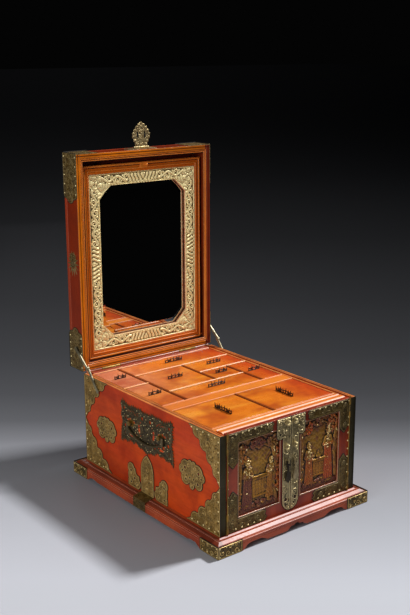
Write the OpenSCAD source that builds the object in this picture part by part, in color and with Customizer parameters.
// Portable dressing table: a lacquered wood box with two front doors, a fitted tray under ten
// small lids, and a hinged lid that holds a tilting mirror, all on a moulded plinth.
// Millimetres. +X to the right seen from the doors, +Y to the back, +Z up, ground at z = 0.
// Drawn as it stands open: the lid upright on its stays, everything else at rest.

/* [Case] */
// Width of the case over its side panels
case_w = 300; // [280:5:330]
// Depth of the case, doors included
case_d = 400; // [380:5:440]
// Height of the case above the plinth
case_h = 171; // [160:1:190]
// Thickness of the side panels
wall_t = 14; // [13:0.5:16]
// Thickness of the back panel
back_t = 10; // [9:0.5:12]
// Width of the raised outer edge of the rim
rim_w = 8; // [7:0.5:9]
// Drop from the rim to the lids of the tray
rim_drop = 2.5; // [2:0.5:4]
// Thickness of the bottom board and of the shelf
board_t = 8; // [6:0.5:10]
// Height of the shelf above the bottom board
shelf_up = 52; // [45:1:58]

/* [Plinth] */
// Height of the plinth
plinth_h = 26; // [24:1:30]
// Overhang of the plinth past the case
plinth_over = 19; // [17:1:24]
// Height of the stepped moulding on top of the plinth
mould_h = 5; // [4:0.5:7]
// Thickness of the moulded board under the steps
plinth_board_t = 7; // [6:0.5:8]
// Thickness of the aprons
apron_t = 14; // [12:1:18]
// Length of each foot along the front
foot_l = 52; // [48:1:58]

/* [Tray] */
// Depth of the compartments below the tray lids
tray_depth = 27; // [20:1:30]
// Thickness of the tray floor
tray_floor_t = 5; // [4:0.5:6]
// Thickness of the tray lids
tlid_t = 4; // [3:0.5:5]
// Thickness of a divider between two lids
web_t = 4; // [3:0.5:5]
// Width of the ledge that a lid rests on
ledge_w = 3; // [2.5:0.5:4]
// Gap around a tray lid
tlid_gap = 0.5; // [0.4:0.1:0.8]
// Depth of the two front compartments, front to back
front_bay_d = 104; // [96:1:110]
// Width of the flat rail across the tray
cross_rail_w = 30; // [26:1:34]
// Width of the left column of lids
left_col_w = 51; // [46:1:56]
// Depth of the wide lid at the back
wide_bay_d = 53; // [48:1:58]
// Height of a handle on a tray lid
handle_h = 9.5; // [7:0.5:9.5]

/* [Doors] */
// Thickness of the doors
door_t = 9; // [8:0.5:10]
// Width of the upright frame members of a door
stile_w = 22; // [19:0.5:25]
// Height of the upper frame member of a door
top_member = 18; // [15:0.5:21]
// Height of the lower frame member of a door
low_member = 21; // [18:0.5:24]
// Thickness of a carved panel
panel_t = 4; // [3:0.5:4.5]
// Radius of the door hinge knuckles
door_knuckle_r = 1.8; // [1.6:0.1:2]
// Gap between the two doors and around them
door_gap = 0.4; // [0.3:0.1:0.6]

/* [Lid] */
// Height of the closed lid
lid_h = 45; // [42:1:50]
// Thickness of the walls of the lid
lid_wall = 8; // [7:0.5:9]
// Thickness of the top panel of the lid
lid_top_t = 8; // [6:0.5:10]
// Thickness of the lining strips inside the lid
lip_t = 6; // [5:0.5:7]
// Radius of the knuckles of the lid hinges
hinge_r = 3; // [2.5:0.1:3.5]
// Distance of each lid hinge from the middle
hinge_x = 90; // [70:5:105]

/* [Mirror] */
// Side gap between the mirror frame and the lining of the lid
mirror_gap = 4; // [3:0.5:6]
// Gap above the mirror frame
mirror_top_gap = 9; // [7:0.5:12]
// Depth of the mirror frame below the rim of the lid
mirror_in = 9; // [8.5:0.5:11]
// Depth of the mirror frame, front to back
mirror_d = 14; // [12:0.5:15]
// Width of the side members of the mirror frame
mframe_w = 12; // [10:0.5:14]
// Width of the carved border around the glass
border_w = 23; // [20:1:27]
// Size of the cut corners of the opening
chamfer = 24; // [18:1:30]
// Radius of the pins that the mirror tilts on
mpin_r = 2; // [1.5:0.1:2.2]

/* [Brass] */
// Thickness of the sheet brass
brass_t = 0.8; // [0.6:0.1:1]
// Thickness of the cast plates
plate_t = 1.2; // [1:0.1:1.5]
// Length of a corner mount along the case
mount_l = 82; // [70:1:90]
// Radius of a rivet head
rivet_r = 1.3; // [1:0.1:1.5]
// Height of a rivet head
rivet_h = 0.6; // [0.4:0.1:0.6]
// Height of the dark plaque's middle above the foot of the case
plaque_up = 116; // [112:1:118]
// Distance of the cloud plates from the middle of the side
cloud_off = 128; // [124:1:130]
// Height of the cloud plates above the foot of the case
cloud_up = 82; // [78:1:86]
// Height of the carrying handle's pivot above the foot of the case
bail_up = 121; // [116:1:124]
// Height of the drop pulls' pivot above the foot of the case
pull_up = 94; // [90:1:98]
// Height of the padlock staples above the foot of the case
loop_up = 119; // [116:1:124]
// Half the distance between the posts of a carrying handle
bail_half = 44; // [40:1:52]
// Radius of the bar of a carrying handle
bail_r = 2.4; // [2:0.1:3]
// Length of a drop pull
pull_l = 38; // [30:1:42]
// Height of the hasp plate above its pivot
hasp_l = 47; // [42:1:52]

/* [Stays] */
// Distance of the case pivot of a stay in front of the back of the case
stay_case_y = 47; // [42:1:52]
// Distance of the case pivot of a stay below the rim
stay_case_z = 22; // [20:1:26]
// Distance of the lid pivot of a stay behind the rim of the lid
stay_lid_y = 17; // [14:1:20]
// Distance of the lid pivot of a stay above the lower edge of the open lid
stay_lid_z = 41; // [38:1:46]
// Length of each of the two arms between pivots
arm_l = 47.6; // [47.6:0.1:52]
// Width of an arm
arm_w = 8; // [6:0.5:9]
// Thickness of an arm
arm_t = 1.8; // [1.5:0.1:2]

/* [Hidden] */
$fn = 48;
eps = 0.3;
fit = 0.05;

// Case planes
hx = case_w / 2;
y_mid = -(lid_h - plinth_over) / 2;
y0 = y_mid - case_d / 2;
y1 = y_mid + case_d / 2;
z0 = plinth_h;
z1 = z0 + case_h;
ix = hx - wall_t;
px = hx + plinth_over;
py0 = y0 - plinth_over;
py1 = y1 + plinth_over;
board_z = plinth_h - mould_h;
apron_z = board_z - plinth_board_t;

// Tray planes
lid_plane = z1 - rim_drop;
ledge_z = lid_plane - tlid_t;
tray_z = ledge_z - tray_depth;
tray_y0 = y0 + door_t + 31;
rail_y0 = y0 + door_t + door_gap;
tray_y1 = y1 - back_t;
fb_y1 = tray_y0 + front_bay_d;
cr_y0 = fb_y1;
cr_y1 = cr_y0 + cross_rail_w;
div_a = -ix + left_col_w + web_t / 2;
div_wide = tray_y1 - wide_bay_d - web_t / 2;
div_c = div_a + web_t / 2 + (ix - div_a) * 0.485;
sq_d = (div_wide - cr_y1) * 0.655;
div_sq = div_wide - sq_d - web_t / 2;
div_r1 = div_wide - (div_wide - cr_y1) * 0.345;
div_r = ix - 46;
side_half = (py1 - py0) / 2 - apron_t - eps;
div_l = cr_y1 + (tray_y1 - cr_y1) * 0.53;

// Lid planes, drawn open
hinge_off = hinge_r + 0.3;
ya = y1 + hinge_off;
za = z1;
yr = ya + 0.3;
yb = ya + lid_h;
zl0 = za + hinge_off;
zl1 = zl0 + case_d;
lx = hx - lid_wall;
lix = lx - lip_t;

// Mirror planes
my0 = yr + mirror_in;
my1 = my0 + mirror_d;
mx = lix - mirror_gap;
mz0 = zl0 + lid_wall + lip_t + 1.3;
mz1 = zl1 - lid_wall - lip_t - mirror_top_gap;
gx = mx - mframe_w;
gz0 = mz0 + mframe_w + 3.5;
gz1 = mz1 - mframe_w - 4;
ox = gx - border_w;
oz0 = gz0 + border_w;
oz1 = gz1 - border_w;
mpy = my0 + 3;
mpz = mz0 + 4;

// Door planes
dz0 = z0 + 0.8;
dz1 = z1 - 0.2;
dx1 = ix - door_gap;
pin_x = ix;
pin_y = y0 - door_knuckle_r - 0.15;
pull_x = 9;
pull_z = z0 + pull_up;
staple_z = z1 - 10;
loop_z = z0 + loop_up;

// Hasp and stays
hasp_y = yr + 15;
hasp_z = zl1 + plate_t + 2;
sc = [y1 - stay_case_y, z1 - stay_case_z];
sl = [yr + stay_lid_y, zl0 + stay_lid_z];
stay_v = sl - sc;
stay_d = norm(stay_v);
stay_n = [-stay_v[1], stay_v[0]] / stay_d;
knee = (sc + sl) / 2 + stay_n * sqrt(arm_l * arm_l - stay_d * stay_d / 4);
case_arm_x = hx + 1.6;
lid_arm_x = case_arm_x + arm_t + eps;

// Carrying handles and the plaques under them
bail_z = z0 + bail_up;
bail_x = hx + plate_t + bail_r + 1.6;

module box(x0, x1, ya0, ya1, za0, za1)
    translate([x0, ya0, za0]) cube([x1 - x0, ya1 - ya0, za1 - za0]);

// A flat shape drawn in (y, z), standing on plane x with its thickness towards +X
module on_x(x, t)
    translate([x, 0, 0]) rotate([90, 0, 90]) linear_extrude(t) children();

// The same shape on both side faces of the case, t thick and outside them
module on_sides(t) {
    on_x(hx, t) children();
    on_x(-hx - t, t) children();
}

// A flat shape drawn in (x, z), standing in front of plane y and t thick
module on_y(y, t)
    translate([0, y, 0]) rotate([90, 0, 0]) linear_extrude(t) children();

module rivet_x(y, z, s, x = hx)
    translate([s * x, y, z]) rotate([0, s * 90, 0]) cylinder(h = rivet_h, r1 = rivet_r, r2 = rivet_r * 0.55);

// Corner leaf in the first quadrant with a lobed slanting edge
module leaf(l, h)
    intersection() {
        square([l, h]);
        union() {
            polygon([[0, 0], [l, 0], [l * 0.9, h * 0.05], [l * 0.5, h * 0.36], [l * 0.22, h * 0.72], [0, h]]);
            translate([l * 0.72, h * 0.08]) circle(r = l * 0.15);
            translate([l * 0.5, h * 0.28]) circle(r = l * 0.14);
            translate([l * 0.3, h * 0.5]) circle(r = l * 0.13);
            translate([l * 0.12, h * 0.74]) circle(r = l * 0.11);
        }
    }

// Pointed arch, w wide and h tall, standing on the origin
module arch(w, h) {
    r = w * 0.92;
    k = h - sqrt(r * r - (r - w / 2) * (r - w / 2));
    translate([-w / 2, 0]) square([w, k]);
    intersection() {
        translate([w / 2 - r, k]) circle(r = r);
        translate([r - w / 2, k]) circle(r = r);
        translate([-w / 2, k - 1]) square([w, h]);
    }
}

/* PLINTH */

module plinth_board()
    color("#c4603c") {
        box(-px, px, py0, py1, apron_z, board_z);
        for (s = [[3.2, 0.34], [6.4, 0.52], [11, 0.76], [plinth_over - 3, 1]])
            box(-px + s[0], px - s[0], py0 + s[0], py1 - s[0], board_z - 1, board_z + mould_h * s[1]);
    }

// Lower outline of one half of an apron, from its end to its middle
function apron_half(l) = [[0, 0], [foot_l, 0], [foot_l + 4, 3], [foot_l + 10, 8], [foot_l + 17, 9.5],
    [foot_l + 38, 9.5], [foot_l + 46, 6.5], [foot_l + 52, 3.6], [l - 24, 3.6], [l - 17, 6], [l - 13, 10],
    [l - 7, 9], [l - 3, 12], [l, 12.4]];
function apron_low(l, f) = [[0, 0], [f, 0], [f + 4, 3], [f + 12, 7], [f + 22, 7.4], [f + 34, 5], [l, 4.4]];
function turned(p, l) = [for (i = [len(p) - 1:-1:0]) [2 * l - p[i][0], p[i][1]]];

module apron(half, l)
    polygon(concat(half, turned(half, l), [[2 * l, apron_z], [0, apron_z]]));

module plinth_aprons()
    color("#b4492e") {
        for (y = [py0 + apron_t, py1])
            translate([-px, 0, 0]) on_y(y, apron_t) apron(apron_half(px), px);
        for (x = [-px, px - apron_t])
            on_x(x, apron_t) translate([py0 + apron_t + eps, 0])
                apron(apron_low(side_half, 34), side_half);
    }

module plinth_corner()
    difference() {
        union() {
            box(px - 49, px + brass_t, py1, py1 + brass_t, 0.6, board_z);
            box(px, px + brass_t, py1 - 46, py1 + brass_t, 0.6, board_z);
        }
        translate([px - 49, 0, -4]) on_y(py1 + 2, 4) rotate(45) square(9, center = true);
        on_x(px - 1, 4) translate([py1 - 46, -4]) rotate(45) square(9, center = true);
    }

module plinth_corners()
    color("#6e6436")
        for (a = [0, 1], b = [0, 1])
            mirror([a, 0, 0]) translate([0, y_mid, 0]) mirror([0, b, 0]) translate([0, -y_mid, 0])
                plinth_corner();

// Strap folded over the moulding at the middle of each side
module plinth_straps()
    color("#6e6436")
        for (a = [0, 1])
            mirror([a, 0, 0]) translate([0, y_mid + 18, 0]) rotate([90, 0, 0]) linear_extrude(36)
                polygon([[hx + plate_t + eps, z0], [hx + 4, z0], [px, board_z + 1.6], [px, 5.2],
                    [px + brass_t, 5.2], [px + brass_t, board_z + 2.4], [hx + 4, z0 + 0.9],
                    [hx + plate_t + eps, z0 + 0.9]]);

/* CASE */

module rebated(t)
    polygon([[0, z0], [t, z0], [t, z1], [t - rim_w, z1], [t - rim_w, lid_plane], [0, lid_plane]]);

module side_panel(s)
    color("#b8471f")
        mirror([s < 0 ? 1 : 0, 0, 0]) translate([ix, y1, 0]) rotate([90, 0, 0])
            linear_extrude(case_d) rebated(wall_t);

module side_panel_left() side_panel(-1);
module side_panel_right() side_panel(1);

module back_panel()
    color("#a8431f")
        on_x(-ix, 2 * ix) translate([y1 - back_t, 0]) rebated(back_t);

module bottom_board()
    color("#b4582c") box(-ix, ix, rail_y0, y1 - back_t, z0, z0 + board_t);

module cupboard_shelf()
    color("#b4582c")
        box(-ix, ix, rail_y0 + 6, y1 - back_t, z0 + board_t + shelf_up, z0 + board_t * 2 + shelf_up);

module tray_floor()
    color("#c9713a") box(-ix, ix, tray_y0 + ledge_w, tray_y1, tray_z - tray_floor_t, tray_z);

// Rail over the doors: raised front edge, a step down, and a ledge for the front lids
module front_rail()
    color("#cf7440")
        on_x(-ix, 2 * ix)
            polygon([[rail_y0, tray_z - tray_floor_t], [rail_y0, z1], [rail_y0 + 17, z1],
                [rail_y0 + 17, lid_plane], [tray_y0, lid_plane], [tray_y0, ledge_z],
                [tray_y0 + ledge_w, ledge_z], [tray_y0 + ledge_w, tray_z - tray_floor_t]]);

module cross_rail()
    color("#cf7440") {
        box(-ix, ix, cr_y0, cr_y1, tray_z, lid_plane);
        box(-ix, ix, cr_y0 - ledge_w, cr_y1 + ledge_w, tray_z, ledge_z);
    }

// Divider along X or Y: a thin web between two lids on a broad foot that they rest on
module div_x(x0, x1, y)
    union() {
        box(x0, x1, y - web_t / 2, y + web_t / 2, tray_z, lid_plane);
        box(x0 + 2, x1 - 2, y - web_t / 2 - ledge_w, y + web_t / 2 + ledge_w, tray_z, ledge_z);
    }

module div_y(x, ya0, ya1)
    union() {
        box(x - web_t / 2, x + web_t / 2, ya0, ya1, tray_z, lid_plane);
        box(x - web_t / 2 - ledge_w, x + web_t / 2 + ledge_w, ya0 + 2, ya1 - 2, tray_z, ledge_z);
    }

half_web = web_t / 2 + eps;
foot_in = ledge_w + eps;
module tray_dividers()
    color("#d9894f") {
        div_y(0, tray_y0 + foot_in, cr_y0 - foot_in);
        div_y(div_a, cr_y1 + foot_in, tray_y1 - 4 - eps);
        div_x(-ix + 4 + eps, div_a - half_web - foot_in, div_l);
        div_x(div_a + half_web + foot_in, ix - 4 - eps, div_wide);
        div_y(div_c, div_sq + half_web, div_wide - half_web - foot_in);
        div_x(div_a + half_web + foot_in, div_r - half_web - foot_in, div_sq);
        div_x(div_c + half_web + foot_in, ix - 4 - eps, div_r1);
        div_y(div_r, cr_y1 + foot_in, div_r1 - half_web - foot_in);
    }

module tray_linings()
    color("#d9894f") {
        for (s = [-ix, ix - 4])
            for (b = [[tray_y0 + foot_in, cr_y0 - foot_in], [cr_y1 + foot_in, tray_y1]])
                box(s, s + 4, b[0], b[1], tray_z, ledge_z);
        box(-ix + 4 + eps, ix - 4 - eps, tray_y1 - 4, tray_y1, tray_z, ledge_z);
    }

// Openwork handle of a tray lid, drawn along X
module tray_handle(l)
    translate([0, 2, 0]) rotate([90, 0, 0]) linear_extrude(4)
        difference() {
            union() {
                translate([-l / 2, 0]) square([l, 2]);
                intersection() {
                    union() {
                        translate([0, handle_h - l * 0.62]) circle(r = l * 0.62);
                        translate([-l * 0.32, handle_h * 0.45]) circle(r = l * 0.13);
                        translate([l * 0.32, handle_h * 0.45]) circle(r = l * 0.13);
                    }
                    translate([-l / 2, 0]) square([l, handle_h]);
                    union() {
                        translate([-l * 0.34, 0]) square([l * 0.68, handle_h]);
                        translate([-l / 2, 0]) square([l, handle_h * 0.75]);
                    }
                }
            }
            translate([0, handle_h * 0.42]) circle(r = handle_h * 0.24);
            for (s = [-1, 1])
                translate([s * l * 0.19, handle_h * 0.42]) circle(r = handle_h * 0.21);
        }

// A tray lid between four edges, with its handle along X (turn 0) or along Y (turn 90)
module tray_lid(x0, x1, ya0, ya1, l = 30, turn = 0)
    color("#dd8b52") {
        box(x0 + tlid_gap, x1 - tlid_gap, ya0 + tlid_gap, ya1 - tlid_gap, ledge_z, lid_plane);
        translate([(x0 + x1) / 2, (ya0 + ya1) / 2, lid_plane]) rotate([0, 0, turn]) tray_handle(l);
    }

hw = web_t / 2;
module tray_lid_a() tray_lid(-ix, div_a - hw, div_l + hw, tray_y1, 26);
module tray_lid_b() tray_lid(-ix, div_a - hw, cr_y1, div_l - hw, 26);
module tray_lid_c() tray_lid(div_a + hw, ix, div_wide + hw, tray_y1, 34);
module tray_lid_d() tray_lid(div_a + hw, div_c - hw, div_sq + hw, div_wide - hw, 30);
module tray_lid_e() tray_lid(div_c + hw, ix, div_r1 + hw, div_wide - hw, 30);
module tray_lid_f() tray_lid(div_c + hw, div_r - hw, div_sq + hw, div_r1 - hw, 24);
module tray_lid_g() tray_lid(div_r + hw, ix, cr_y1, div_r1 - hw, 24);
module tray_lid_h() tray_lid(div_a + hw, div_r - hw, cr_y1, div_sq - hw, 34);
module tray_lid_i() tray_lid(-ix, -hw, tray_y0, cr_y0, 36, 90);
module tray_lid_j() tray_lid(hw, ix, tray_y0, cr_y0, 36, 90);

// Corner mounts: a lobed leaf on the side face, folded round onto the end of the side panel
module mount_pair(s)
    mirror([s < 0 ? 1 : 0, 0, 0]) {
        for (b = [0, 1])
            translate([0, 0, b ? z0 + z1 : 0]) mirror([0, 0, b]) {
                h = case_h / 2 - 0.4;
                l = b ? mount_l - 2 : mount_l + 6;
                on_x(hx, brass_t) translate([y0 - brass_t, z0 + 0.3]) leaf(l, h);
                on_y(y0, brass_t) translate([pin_x + 2.2, z0 + 0.3]) square([hx + brass_t - pin_x - 2.2, h]);
                on_x(hx, brass_t) translate([y1 + brass_t, z0 + 0.3]) mirror([1, 0]) leaf(l - 2, h);
                on_y(y1 + brass_t, brass_t) translate([hx + brass_t - 22, z0 + 0.3]) square([22, h]);
            }
    }

module case_mounts_left() color("#6e6436") mount_pair(-1);
module case_mounts_right() color("#6e6436") mount_pair(1);

// Outline of one half of the bat plaque, from the middle of its top edge to the middle of its foot
bat = [[0, 34], [12, 33], [16, 37], [28, 35], [40, 36], [52, 33], [62, 36], [72, 40], [78, 34], [74, 24],
    [77, 12], [72, 0], [76, -12], [78, -37], [68, -30], [58, -33], [50, -27], [40, -31], [32, -26], [22, -34],
    [12, -33], [0, -39]];

module bat_plaque()
    difference() {
        polygon(concat(bat, [for (i = [len(bat) - 2:-1:1]) [-bat[i][0], bat[i][1]]]));
        for (s = [-1, 1])
            for (h = [[12, 22, 3.4], [26, 24, 4], [40, 25, 3.2], [54, 24, 3.6], [67, 27, 3], [62, 12, 4.2],
                    [48, 10, 3.4], [64, -5, 3.6], [66, -20, 4], [50, -12, 3.8], [36, -16, 3.4], [24, -20, 3.4],
                    [10, -24, 3.4], [22, 6, 3]])
                translate([s * h[0], h[1]]) circle(r = h[2]);
    }

module bat_plaques()
    color("#46413a") on_sides(plate_t) translate([y_mid, z0 + plaque_up]) bat_plaque();

// Posts with eyes that carry the handles
module bail_posts()
    color("#6e6436")
        for (a = [0, 1], s = [-1, 1])
            mirror([a, 0, 0]) difference() {
                union() {
                    translate([hx + plate_t, y_mid + s * bail_half, bail_z]) rotate([0, 90, 0])
                        cylinder(h = 1, r = 6.5);
                    translate([hx + plate_t + 1, y_mid + s * bail_half, bail_z]) rotate([0, 90, 0])
                        cylinder(h = bail_x + 3.2 - hx - plate_t - 1, r = 4.2);
                }
                translate([bail_x, y_mid, bail_z]) rotate([90, 0, 0])
                    cylinder(h = 4 * bail_half, r = bail_r * 0.7 + fit, center = true);
            }

// Swinging carrying handle: two short legs with turned-in pins that sit in the eyes, and a bowed bar
module bail(s)
    color("#9a8b52")
        mirror([s < 0 ? 1 : 0, 0, 0]) {
            for (k = [-1, 1])
                translate([bail_x, y_mid + k * (bail_half + 8), bail_z]) {
                    rotate([k * 90, 0, 0]) cylinder(h = 13, r = bail_r * 0.7);
                    translate([0, 0, -13]) cylinder(h = 13 + bail_r, r = bail_r * 1.1);
                }
            translate([bail_x, y_mid, bail_z - 10]) rotate([90, 0, 90]) bail_arc(bail_half + 8);
        }

// Shallow bow that joins the two legs
module bail_arc(h) {
    d = 15;
    r = (h * h + d * d) / (2 * d);
    a = asin(h / r);
    translate([0, r - d, 0]) rotate([0, 0, 270 - a]) rotate_extrude(angle = 2 * a)
        translate([r, 0]) circle(r = bail_r);
}

module bail_left() bail(-1);
module bail_right() bail(1);

// Winged cloud, about 68 wide and 50 tall
module cloud(s)
    scale(s) difference() {
        union() {
            circle(r = 16);
            for (k = [-1, 1]) {
                translate([k * 16, 9]) circle(r = 13);
                translate([k * 26, 3]) circle(r = 8);
                translate([k * 17, -10]) circle(r = 11);
                translate([k * 5, 19]) circle(r = 6);
            }
            translate([0, -19]) circle(r = 6);
        }
        for (k = [-1, 1]) {
            translate([k * 18, 8]) circle(r = 2.6);
            translate([k * 25, 1]) circle(r = 1.8);
            translate([k * 16, -11]) circle(r = 2.4);
            translate([k * 5, -6]) circle(r = 1.8);
            translate([k * 9, 14]) circle(r = 1.8);
        }
    }

// Scrolled plate that flanks the arched one
module scroll()
    difference() {
        union() {
            translate([-17, 0]) square([32, 12]);
            translate([0, 20]) circle(r = 17);
            translate([-8, 34]) circle(r = 10);
            translate([12, 10]) circle(r = 9);
        }
        translate([14, 34]) circle(r = 9);
        translate([3, 18]) circle(r = 2.4);
        translate([-8, 30]) circle(r = 2.2);
        translate([9, 8]) circle(r = 2);
        translate([-8, 8]) circle(r = 2);
        translate([-40, -20]) square([80, 20]);
    }

module side_medallions()
    color("#7a7045") on_sides(plate_t) {
        translate([y_mid - cloud_off, z0 + cloud_up]) cloud(1);
        translate([y_mid + cloud_off, z0 + cloud_up]) cloud(0.95);
        translate([y_mid, z0 + 0.3]) arch(37, 73);
        translate([y_mid - 42, z0 + 0.3]) scroll();
        translate([y_mid + 42, z0 + 0.3]) mirror([1, 0]) scroll();
    }

module case_rivets()
    color("#b9a86a")
        for (a = [0, 1])
            mirror([a, 0, 0]) {
                for (k = [0:9])
                    translate([hx - 4, y0 - brass_t, z0 + 10 + k * (case_h - 20) / 9]) rotate([90, 0, 0])
                        cylinder(h = rivet_h, r1 = rivet_r, r2 = rivet_r * 0.55);
                for (k = [0:4], b = [0, 1]) {
                    rivet_x(y0 + 12 + k * 15, b ? z1 - 6 : z0 + 7, 1, hx + brass_t);
                    rivet_x(y1 - 12 - k * 15, b ? z1 - 6 : z0 + 7, 1, hx + brass_t);
                }
            }

// Hinge rods of the doors, with fixed knuckles and a finial
module door_pins()
    color("#8b7d49")
        for (a = [0, 1])
            mirror([a, 0, 0]) translate([pin_x, pin_y, 0]) {
                translate([0, 0, z0 + 1]) cylinder(h = case_h + 0.6, r = 1);
                for (z = [z0 + 1, z0 + 24, z1 - 34, z1 - 11])
                    translate([0, 0, z]) {
                        cylinder(h = 10, r = door_knuckle_r);
                        translate([0.3, 0, 0]) cube([1.6, y0 - pin_y, 10]);
                    }
                translate([0, 0, z1 + 1.6]) cylinder(h = 1.6, r = 0.8);
                translate([0, 0, z1 + 3.6]) sphere(r = 1);
            }

/* DOORS */

// The left door is drawn and the right one is its mirror image
module door_frame()
    difference() {
        box(-dx1, -door_gap, y0, y0 + door_t, dz0, dz1);
        box(-dx1 + stile_w, -stile_w, y0 - 1, y0 + door_t + 1, dz0 + low_member, dz1 - top_member);
    }

module door_bead()
    difference() {
        box(-dx1 + stile_w - 0.5, -stile_w + 0.5, y0 + 0.4, y0 + 2.4, dz0 + low_member - 0.5,
            dz1 - top_member + 0.5);
        box(-dx1 + stile_w + 1.6, -stile_w - 1.6, y0 - 2, y0 + 3, dz0 + low_member + 1.6,
            dz1 - top_member - 1.6);
    }

module door_frame_half(s)
    color("#9c3d2a") mirror([s, 0, 0]) {
        door_frame();
        door_bead();
    }
module door_frame_left() door_frame_half(0);
module door_frame_right() door_frame_half(1);

// Carved panel: a slab with low mounds for the ground, two trees and a group of figures
module door_panel(s)
    color("#8a6a3a") mirror([s, 0, 0]) {
        cx = (-dx1 + stile_w - stile_w) / 2;
        pz = dz0 + low_member;
        box(-dx1 + stile_w, -stile_w, y0 + door_t - panel_t - 0.6, y0 + door_t - 0.6, pz, dz1 - top_member);
        on_y(y0 + door_t - panel_t - 0.6, 2) {
            translate([cx - 40, pz + 3]) square([78, 12]);
            translate([cx - 18, pz + 17]) circle(r = 15);
            translate([cx + 16, pz + 16]) circle(r = 14);
            for (k = [-24, -6, 12, 26])
                translate([cx + k - 6, pz + 14]) square([12, 44 + (k % 5)]);
            for (k = [-24, -6, 12, 26])
                translate([cx + k, pz + 62 + (k % 5)]) circle(r = 5);
            translate([cx - 30, pz + 98]) circle(r = 14);
            translate([cx - 12, pz + 106]) circle(r = 12);
            translate([cx + 14, pz + 104]) circle(r = 13);
            translate([cx + 29, pz + 94]) circle(r = 12);
            translate([cx - 32, pz + 60]) square([6, 34]);
            translate([cx + 28, pz + 60]) square([6, 34]);
        }
    }
module door_panel_left() door_panel(0);
module door_panel_right() door_panel(1);

// Brass on a door: an L plate at the top, one at the bottom, and three hinge knuckles with the rod's bore
module door_plate(h, l, w)
    polygon([[0, 0], [l, 0], [l + 6, w * 0.3], [l + 1, w * 0.55], [l + 4, w * 0.8], [l - 2, w],
        [stile_w - 1, w], [stile_w - 1, h - 10], [stile_w * 0.5, h], [0.4, h - 12], [0, h - 12]]);

module door_knuckle(z, h)
    translate([-pin_x, pin_y, z]) {
        difference() {
            union() {
                cylinder(h = h, r = door_knuckle_r);
                translate([door_gap, -0.4, 0]) cube([3.4, y0 - pin_y + 0.4, h]);
            }
            translate([0, 0, -1]) cylinder(h = h + 2, r = 1 + fit);
        }
    }

module door_brass(s)
    color("#6e6436") mirror([s, 0, 0]) {
        on_y(y0, brass_t) difference() {
            union() {
                translate([-dx1 + 0.2, dz0 + 0.3]) door_plate(70, 78, low_member - 1);
                translate([-dx1 + 0.2, dz1 - 0.3]) mirror([0, 1]) door_plate(60, 92, top_member - 1);
            }
            for (z = knuckle_at)
                translate([-dx1 - 1, z[0] - eps]) square([2.4, z[1] + 2 * eps]);
        }
        for (z = free_at)
            door_knuckle(z[0], z[1]);
    }
knuckle_at = [[z0 + 1, 10], [z0 + 24, 10], [z1 - 34, 10], [z1 - 11, 10]];
free_at = [[z0 + 11 + eps, 13 - 2 * eps], [z1 - 24 + eps, 13 - 2 * eps]];
module door_brass_left() door_brass(0);
module door_brass_right() door_brass(1);

// Half of the lock plate, with its hasp staple, padlock staple and the post of its pull
module lock_half()
    difference() {
        union() {
            translate([-18, z0 + 22]) square([18 - door_gap, case_h - 23]);
            intersection() {
                translate([0, z0 + 22]) circle(r = 18);
                translate([-18, z0]) square([18 - door_gap, 30]);
            }
            translate([-10, z0 + 6]) polygon([[0, 4], [10 - door_gap, -1], [10 - door_gap, 20], [0, 20]]);
            translate([-31, z1 - 30]) square([18, 29]);
            translate([-24, z1 - 30]) circle(r = 7);
        }
        translate([-10.5, z0 + 24]) circle(r = 3);
        translate([-7, z0 + 15]) circle(r = 1.8);
        translate([-25, z1 - 12]) circle(r = 2.6);
        translate([-24, z1 - 28]) circle(r = 2);
    }

module staple(x, z, d, w, bore)
    translate([x - 1.2, y0 - plate_t - d, z - w / 2]) difference() {
        cube([2.4, d + 0.4, w]);
        translate([-1, d * 0.46, w / 2]) rotate([0, 90, 0]) cylinder(h = 5, r = bore);
    }

module lock_plate(s)
    color("#857a4c") mirror([s, 0, 0]) {
        on_y(y0, plate_t) lock_half();
        staple(-8, staple_z, 7, 7, 2.2);
        staple(-9, loop_z, 8, 8, 2.6);
        staple(-pull_x, pull_z, 6.2, 6.2, 1.2 + fit);
    }
module lock_plate_left() lock_plate(0);
module lock_plate_right() lock_plate(1);

// Drop pull: a fork on a cross pin, a neck and a flat drop
pull_y = y0 - plate_t - 6.2 * 0.54;
module drop_pull(s)
    color("#4c4a44") mirror([s, 0, 0]) translate([-pull_x, pull_y, pull_z]) {
        rotate([0, 90, 0]) cylinder(h = 6.2, r = 1.2, center = true);
        for (k = [-1, 1])
            translate([k * 2.4 - 0.8, -1.5, -7]) cube([1.6, 3, 8.2]);
        translate([-3.2, -1.5, -9]) cube([6.4, 3, 4]);
        translate([0, 1.2, 0]) rotate([90, 0, 0]) linear_extrude(2.4) {
            translate([-1.8, -16]) square([3.6, 9]);
            translate([0, -pull_l + 8]) circle(r = 6);
            polygon([[-5.2, -pull_l + 11], [5.2, -pull_l + 11], [1.8, -15], [-1.8, -15]]);
            translate([0, -pull_l + 2]) circle(r = 2);
        }
    }
module drop_pull_left() drop_pull(0);
module drop_pull_right() drop_pull(1);

/* LID */

module lid_walls()
    color("#b8471f") {
        for (s = [-1, 1])
            box(s < 0 ? -hx : lx, s < 0 ? -lx : hx, yr, yb - lid_top_t, zl0, zl1);
        for (z = [zl0, zl1 - lid_wall])
            box(-lx + eps, lx - eps, yr, yb - lid_top_t, z, z + lid_wall);
    }

module lid_top()
    color("#a8431f") box(-hx, hx, yb - lid_top_t, yb, zl0, zl1);

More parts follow.
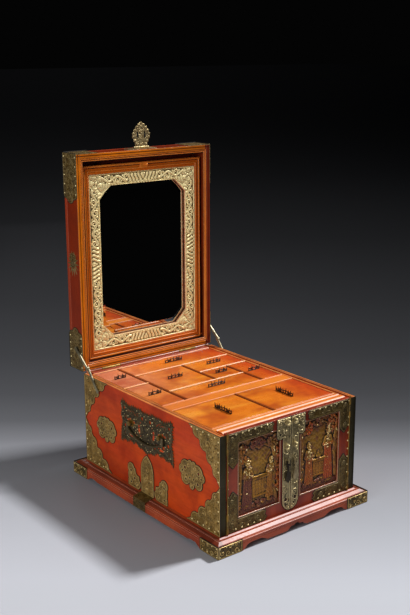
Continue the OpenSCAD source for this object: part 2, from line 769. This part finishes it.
// Lining strips, one step below the rim; the side strips carry the bores of the mirror pins
module lid_lining()
    color("#cf7440") difference() {
        union() {
            for (s = [-1, 1])
                box(s < 0 ? -lx : lix, s < 0 ? -lix : lx, yr + 2, yb - lid_top_t, zl0 + lid_wall, zl1 - lid_wall);
            for (z = [zl0 + lid_wall, zl1 - lid_wall - lip_t])
                box(-lix + eps, lix - eps, yr + 2, yb - lid_top_t, z, z + lip_t);
        }
        translate([0, mpy, mpz]) rotate([0, 90, 0]) cylinder(h = 2 * lix + 8, r = mpin_r + fit, center = true);
    }

module lid_mounts()
    color("#6e6436") {
        lid_medallion();
        for (a = [0, 1], b = [0, 1])
            mirror([a, 0, 0]) translate([0, 0, b ? zl0 + zl1 : 0]) mirror([0, 0, b]) lid_mount(b);
    }

// One corner of the lid; the front ones (b = 1) also fold over the front wall
module lid_mount(b) {
    w = yb - yr;
    on_x(hx, brass_t) translate([yr, zl0 - brass_t * b]) lid_leaf(w + brass_t, b ? 90 : 80);
    on_y(yb + brass_t, brass_t) translate([hx + brass_t, zl0 - brass_t * b]) mirror([1, 0]) leaf(52, 62);
    if (b)
        box(hx - 46, hx + brass_t, yr, yb + brass_t, zl0 - brass_t, zl0);
}

// Plate across the side of the lid with a lobed end
module lid_leaf(w, h)
    intersection() {
        square([w, h]);
        union() {
            square([w, h - 22]);
            translate([w * 0.22, h - 20]) circle(r = w * 0.25);
            translate([w * 0.78, h - 20]) circle(r = w * 0.25);
            translate([w * 0.5, h - 12]) circle(r = w * 0.24);
        }
    }

module burst(n, r1, r2)
    polygon([for (i = [0:2 * n - 1]) (i % 2 ? r1 : r2) * [cos(180 * i / n), sin(180 * i / n)]]);

module lid_medallion()
    on_sides(plate_t) translate([(yr + yb) / 2, (zl0 + zl1) / 2 + 10]) difference() {
        union() {
            circle(r = 9);
            burst(14, 8, 12.5);
        }
        for (k = [0:5])
            rotate(k * 60) translate([5.2, 0]) circle(r = 1.3);
    }

module hinge_knuckle(x0, x1)
    translate([x0, ya, za]) rotate([0, 90, 0]) cylinder(h = x1 - x0, r = hinge_r);

module lid_hinges_case()
    color("#6e6436")
        for (s = [-1, 1]) {
            for (k = [-1, 1])
                hinge_knuckle(s * hinge_x + k * 15 - 5, s * hinge_x + k * 15 + 5);
            translate([s * hinge_x - 20, ya, za]) rotate([0, 90, 0]) cylinder(h = 40, r = 1.2);
            box(s * hinge_x - 20, s * hinge_x + 20, y1, y1 + plate_t, z1 - 34, z1 - hinge_r - eps);
            for (k = [-1, 1])
                box(s * hinge_x + k * 15 - 5, s * hinge_x + k * 15 + 5, y1, y1 + plate_t, z1 - 8, z1 - 0.2);
        }

module lid_hinges_lid()
    color("#6e6436")
        for (s = [-1, 1])
            difference() {
                union() {
                    hinge_knuckle(s * hinge_x - 10 + eps, s * hinge_x + 10 - eps);
                    box(s * hinge_x - 10 + eps, s * hinge_x + 10 - eps, ya, ya + 8, zl0 - plate_t, zl0);
                    box(s * hinge_x - 20, s * hinge_x + 20, ya + hinge_r + eps, ya + 32, zl0 - plate_t, zl0);
                }
                translate([s * hinge_x - 21, ya, za]) rotate([0, 90, 0]) cylinder(h = 42, r = 1.2 + fit);
            }

/* HASP */

module hasp_base()
    color("#6e6436") {
        box(-29, 29, hasp_y - 6, hasp_y + 14, zl1, zl1 + plate_t);
        for (k = [-1, 1])
            translate([k * 12.3 - 4, 0, 0]) {
                box(0, 8, hasp_y - 1.2, hasp_y + 1.2, zl1 + plate_t - 0.2, hasp_z);
                translate([0, hasp_y, hasp_z]) rotate([0, 90, 0]) cylinder(h = 8, r = 2);
            }
        translate([-16, hasp_y, hasp_z]) rotate([0, 90, 0]) cylinder(h = 32, r = 1);
    }

// Ogival plate with two slots, drawn standing on its knuckle
module hasp()
    color("#b3a66c") {
        difference() {
            union() {
                translate([-8, hasp_y, hasp_z]) rotate([0, 90, 0]) cylinder(h = 16, r = 2);
                on_y(hasp_y + 0.8, 1.6) difference() {
                    translate([0, hasp_z]) union() {
                        polygon([[-8, 0], [8, 0], [8, 2.6], [11.5, 2.6], [13.5, 8], [19.4, 21], [17, 29], [12, 36],
                            [7, 41], [2.4, hasp_l - 2], [0, hasp_l], [-2.4, hasp_l - 2], [-7, 41], [-12, 36],
                            [-17, 29], [-19.4, 21], [-13.5, 8], [-11.5, 2.6], [-8, 2.6]]);
                    }
                    for (k = [-1, 1])
                        translate([k * 8 - 1.9, hasp_z + 17]) square([3.8, 12]);
                }
            }
            translate([-9, hasp_y, hasp_z]) rotate([0, 90, 0]) cylinder(h = 18, r = 1 + fit);
        }
    }

/* MIRROR */

module mirror_frame()
    color("#d08a4a") difference() {
        box(-mx, mx, my0, my1, mz0, mz1);
        box(-gx, gx, my0 - 1, my1 + 1, gz0, gz1);
        translate([0, mpy, mpz]) rotate([0, 90, 0]) cylinder(h = 2 * mx + 2, r = mpin_r, center = true);
    }

module octagon(a, z_low, z_high, c)
    polygon([[-a + c, z_low], [a - c, z_low], [a, z_low + c], [a, z_high - c], [a - c, z_high], [-a + c, z_high],
        [-a, z_high - c], [-a, z_low + c]]);

// Gilt border: a flat band with a raised inner and outer bead round an opening with cut corners
module mirror_border()
    color("#d9bd84") {
        on_y(my0 + 5, 4) difference() {
            translate([-gx, gz0]) square([2 * gx, gz1 - gz0]);
            octagon(ox, oz0, oz1, chamfer);
        }
        on_y(my0 + 2, 1.4) difference() {
            octagon(ox + 3, oz0 - 3, oz1 + 3, chamfer + 1.2);
            octagon(ox, oz0, oz1, chamfer);
        }
        on_y(my0 + 2, 1.4) difference() {
            translate([-gx, gz0]) square([2 * gx, gz1 - gz0]);
            translate([-gx + 3, gz0 + 3]) square([2 * gx - 6, gz1 - gz0 - 6]);
        }
    }

module mirror_glass()
    color("#3c4248") box(-gx + 3, gx - 3, my0 + 5, my0 + 9, gz0 + 3, gz1 - 3);

module mirror_back()
    color("#7d4a28") box(-gx, gx, my0 + 9, my1 - 0.5, gz0, gz1);

// Tilt pins in the lower corners and the small pull on the top member
module mirror_fittings()
    color("#8b7d49") {
        for (s = [-1, 1])
            translate([s * (lix + 3.4), mpy, mpz]) rotate([0, -s * 90, 0]) cylinder(h = lix + 3.4 - gx, r = mpin_r);
        on_y(my0, brass_t) translate([-8, mz1 - 11]) square([16, 10]);
        translate([4.5, my0 - brass_t, mz1 - 5]) rotate([90, 0, 0]) cylinder(h = 3.5, r = 1.6);
        translate([4.5, my0 - 4.4, mz1 - 5]) sphere(r = 2.2);
    }

/* STAYS */

// Arm between two pivots given in (y, z), with round ends and an eye bored at the first
module arm(x, p, q, bore)
    on_x(x, arm_t) difference() {
        union() {
            translate(p) circle(r = arm_w / 2);
            translate(q) circle(r = arm_w / 2);
            translate((p + q) / 2) rotate(atan2(q[1] - p[1], q[0] - p[0]))
                square([norm(q - p), arm_w * 0.72], center = true);
        }
        translate(p) circle(r = bore);
    }

module stay_case_arms()
    color("#8b7d49")
        for (a = [0, 1])
            mirror([a, 0, 0]) arm(case_arm_x, sc, knee, 1.6 + fit);

module stay_lid_arms()
    color("#8b7d49")
        for (a = [0, 1])
            mirror([a, 0, 0]) arm(lid_arm_x, sl, knee, 1.6 + fit);

module stud(p, x)
    on_x(hx + brass_t, x - hx - brass_t) translate(p) circle(r = 1.6);

module stay_studs_case()
    color("#8b7d49")
        for (a = [0, 1])
            mirror([a, 0, 0]) {
                stud(sc, case_arm_x + arm_t + 0.1);
                on_x(hx + brass_t, 0.6) translate(sc) circle(r = 3.4);
            }

module stay_studs_lid()
    color("#8b7d49")
        for (a = [0, 1])
            mirror([a, 0, 0]) {
                stud(sl, lid_arm_x + arm_t + 0.2);
                on_x(hx + brass_t, 0.6) translate(sl) circle(r = 3.4);
            }

plinth_board();
plinth_aprons();
plinth_corners();
plinth_straps();
side_panel_left();
side_panel_right();
back_panel();
bottom_board();
cupboard_shelf();
tray_floor();
front_rail();
cross_rail();
tray_dividers();
tray_linings();
case_mounts_left();
case_mounts_right();
bat_plaques();
bail_posts();
side_medallions();
case_rivets();
door_pins();
lid_hinges_case();
stay_studs_case();
bail_left();
bail_right();
door_frame_left();
door_frame_right();
door_panel_left();
door_panel_right();
door_brass_left();
door_brass_right();
lock_plate_left();
lock_plate_right();
drop_pull_left();
drop_pull_right();
lid_walls();
lid_top();
lid_lining();
lid_mounts();
stay_studs_lid();
hasp_base();
lid_hinges_lid();
hasp();
mirror_frame();
mirror_border();
mirror_glass();
mirror_back();
mirror_fittings();
stay_case_arms();
stay_lid_arms();
tray_lid_a();
tray_lid_b();
tray_lid_c();
tray_lid_d();
tray_lid_e();
tray_lid_f();
tray_lid_g();
tray_lid_h();
tray_lid_i();
tray_lid_j();
